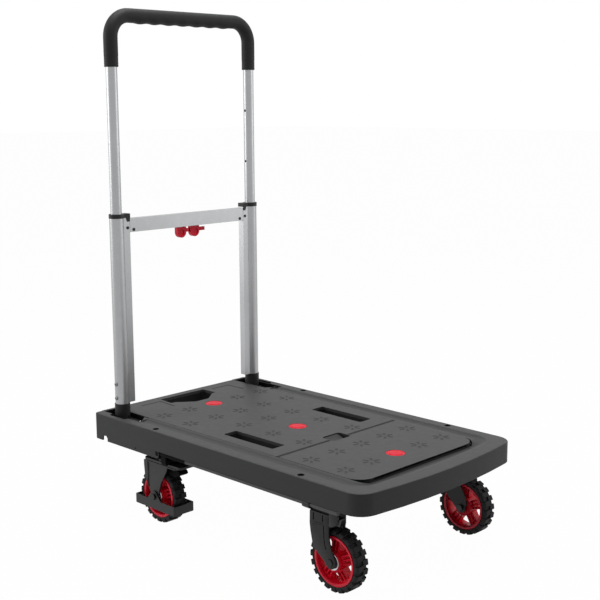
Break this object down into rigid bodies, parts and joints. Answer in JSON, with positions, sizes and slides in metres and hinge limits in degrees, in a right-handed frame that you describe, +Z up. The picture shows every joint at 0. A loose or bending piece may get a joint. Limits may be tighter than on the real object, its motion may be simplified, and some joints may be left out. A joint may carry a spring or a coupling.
{
  "type": "folding platform cart",
  "caption": "Folding platform cart with a moulded deck, storage lid, telescoping fold-down handle, fold-away casters and red spoked wheels.",
  "frame": {"origin": "on the floor under the middle of the deck", "axes": "+X to the front of the deck, away from the handle; +Y across the deck; +Z up"},
  "size_m": [0.835, 0.486, 1.1227],
  "materials": {
    "deck_plastic": "moulded polypropylene, fine matte grain",
    "lid_plastic": "moulded polypropylene, fine matte grain",
    "cap_plastic": "satin moulded plastic",
    "rim_plastic": "satin moulded nylon",
    "pull_plastic": "satin moulded plastic",
    "foot_plastic": "moulded nylon, matte",
    "collar_plastic": "moulded nylon, matte",
    "fork_plastic": "black satin sheet-look moulding",
    "release_bar_plastic": "matte grey-black",
    "post_aluminium": "anodised extrusion, satin",
    "tube_aluminium": "anodised tube, satin",
    "grip_rubber": "matte soft grip",
    "tyre_rubber": "matte solid rubber",
    "caster_steel": "black powder coat",
    "brake_steel": "black powder coat",
    "bolt_steel": "black oxide",
    "zinc_steel": "zinc plated"
  },
  "bodies": {
    "deck_body": {"deck": "deck_plastic", "deck_panel": "deck_plastic", "storage_tray": "deck_plastic", "handle_socket_beam": "caster_steel", "lid_hinge_pin": "zinc_steel", "panel_cap_rear": "cap_plastic", "panel_cap_middle": "cap_plastic", "handle_pivot_pin_left": "zinc_steel", "caster_bracket_front_left": "caster_steel", "caster_hinge_pin_front_left": "zinc_steel", "caster_bracket_rear_left": "caster_steel", "caster_hinge_pin_rear_left": "zinc_steel", "handle_pivot_pin_right": "zinc_steel", "caster_bracket_front_right": "caster_steel", "caster_hinge_pin_front_right": "zinc_steel", "caster_bracket_rear_right": "caster_steel", "caster_hinge_pin_rear_right": "zinc_steel"},
    "lid": {"storage_lid": "lid_plastic", "panel_cap_front": "cap_plastic"},
    "handle_lower": {"handle_foot_left": "foot_plastic", "handle_foot_right": "foot_plastic", "lower_post_left": "post_aluminium", "lower_post_right": "post_aluminium", "post_collar_left": "collar_plastic", "post_collar_right": "collar_plastic", "crossbar": "post_aluminium"},
    "handle_upper": {"upper_handle_tube": "tube_aluminium", "handle_grip": "grip_rubber"},
    "pull_left": {"finger_pull_left": "pull_plastic", "lock_rod_left": "zinc_steel"},
    "release_left": {"release_bar_left": "release_bar_plastic"},
    "front_caster_left": {"front_fork_left": "fork_plastic", "axle_front_left": "bolt_steel"},
    "front_wheel_left": {"tyre_front_left": "tyre_rubber", "rim_front_left": "rim_plastic", "bearing_front_left": "zinc_steel"},
    "rear_plate_left": {"fold_plate_rear_left": "caster_steel", "swivel_race_rear_left": "caster_steel"},
    "rear_swivel_left": {"swivel_fork_rear_left": "caster_steel", "axle_rear_left": "bolt_steel"},
    "rear_wheel_left": {"tyre_rear_left": "tyre_rubber", "rim_rear_left": "rim_plastic", "bearing_rear_left": "zinc_steel"},
    "brake_left": {"brake_frame_rear_left": "brake_steel"},
    "pull_right": {"finger_pull_right": "pull_plastic", "lock_rod_right": "zinc_steel"},
    "release_right": {"release_bar_right": "release_bar_plastic"},
    "front_caster_right": {"front_fork_right": "fork_plastic", "axle_front_right": "bolt_steel"},
    "front_wheel_right": {"tyre_front_right": "tyre_rubber", "rim_front_right": "rim_plastic", "bearing_front_right": "zinc_steel"},
    "rear_plate_right": {"fold_plate_rear_right": "caster_steel", "swivel_race_rear_right": "caster_steel"},
    "rear_swivel_right": {"swivel_fork_rear_right": "caster_steel", "axle_rear_right": "bolt_steel"},
    "rear_wheel_right": {"tyre_rear_right": "tyre_rubber", "rim_rear_right": "rim_plastic", "bearing_rear_right": "zinc_steel"},
    "brake_right": {"brake_frame_rear_right": "brake_steel"}
  },
  "joints": [
    {"name": "handle_fold", "type": "hinge", "parent": "deck_body", "child": "handle_lower", "pos_m": [-0.326, 0, 0.1985], "axis": [0, 1, 0], "range_deg": [0, 90]},
    {"name": "handle_telescope", "type": "slide", "parent": "handle_lower", "child": "handle_upper", "axis": [0, 0, -1], "range_m": [0, 0.244]},
    {"name": "lid_hinge", "type": "hinge", "parent": "deck_body", "child": "lid", "pos_m": [0.3425, 0, 0.2145], "axis": [0, -1, 0], "range_deg": [-100, 0]},
    {"name": "finger_pull_left", "type": "slide", "parent": "handle_lower", "child": "pull_left", "axis": [0, 1, 0], "range_m": [0, 0.006], "stiffness_N_per_m": 500},
    {"name": "release_bar_left", "type": "hinge", "parent": "deck_body", "child": "release_left", "pos_m": [0, -0.237, 0.1704], "axis": [-1, 0, 0], "range_deg": [0, 25], "stiffness_Nm_per_rad": 1.2},
    {"name": "front_caster_fold_left", "type": "hinge", "parent": "deck_body", "child": "front_caster_left", "pos_m": [0.286, -0.172, 0.1535], "axis": [1, 0, 0], "range_deg": [0, 90]},
    {"name": "front_wheel_spin_left", "type": "hinge", "parent": "front_caster_left", "child": "front_wheel_left", "pos_m": [0.3095, -0.2035, 0.0625], "axis": [0, 1, 0], "continuous": true},
    {"name": "rear_caster_fold_left", "type": "hinge", "parent": "deck_body", "child": "rear_plate_left", "pos_m": [-0.206, -0.172, 0.1535], "axis": [1, 0, 0], "range_deg": [0, 90]},
    {"name": "rear_caster_swivel_left", "type": "hinge", "parent": "rear_plate_left", "child": "rear_swivel_left", "pos_m": [-0.2, -0.2035, 0.14], "axis": [0, 0, 1], "continuous": true},
    {"name": "rear_wheel_spin_left", "type": "hinge", "parent": "rear_swivel_left", "child": "rear_wheel_left", "pos_m": [-0.2195, -0.2035, 0.0625], "axis": [0, 1, 0], "continuous": true},
    {"name": "wheel_brake_left", "type": "hinge", "parent": "rear_swivel_left", "child": "brake_left", "pos_m": [-0.2195, -0.2035, 0.0625], "axis": [0, 1, 0], "range_deg": [0, 12]},
    {"name": "finger_pull_right", "type": "slide", "parent": "handle_lower", "child": "pull_right", "axis": [0, -1, 0], "range_m": [0, 0.006], "stiffness_N_per_m": 500},
    {"name": "release_bar_right", "type": "hinge", "parent": "deck_body", "child": "release_right", "pos_m": [0, 0.237, 0.1704], "axis": [1, 0, 0], "range_deg": [0, 25], "stiffness_Nm_per_rad": 1.2},
    {"name": "front_caster_fold_right", "type": "hinge", "parent": "deck_body", "child": "front_caster_right", "pos_m": [0.286, 0.172, 0.1535], "axis": [-1, 0, 0], "range_deg": [0, 90]},
    {"name": "front_wheel_spin_right", "type": "hinge", "parent": "front_caster_right", "child": "front_wheel_right", "pos_m": [0.3095, 0.2035, 0.0625], "axis": [0, 1, 0], "continuous": true},
    {"name": "rear_caster_fold_right", "type": "hinge", "parent": "deck_body", "child": "rear_plate_right", "pos_m": [-0.206, 0.172, 0.1535], "axis": [-1, 0, 0], "range_deg": [0, 90]},
    {"name": "rear_caster_swivel_right", "type": "hinge", "parent": "rear_plate_right", "child": "rear_swivel_right", "pos_m": [-0.2, 0.2035, 0.14], "axis": [0, 0, 1], "continuous": true},
    {"name": "rear_wheel_spin_right", "type": "hinge", "parent": "rear_swivel_right", "child": "rear_wheel_right", "pos_m": [-0.2195, 0.2035, 0.0625], "axis": [0, 1, 0], "continuous": true},
    {"name": "wheel_brake_right", "type": "hinge", "parent": "rear_swivel_right", "child": "brake_right", "pos_m": [-0.2195, 0.2035, 0.0625], "axis": [0, 1, 0], "range_deg": [0, 12]}
  ]
}
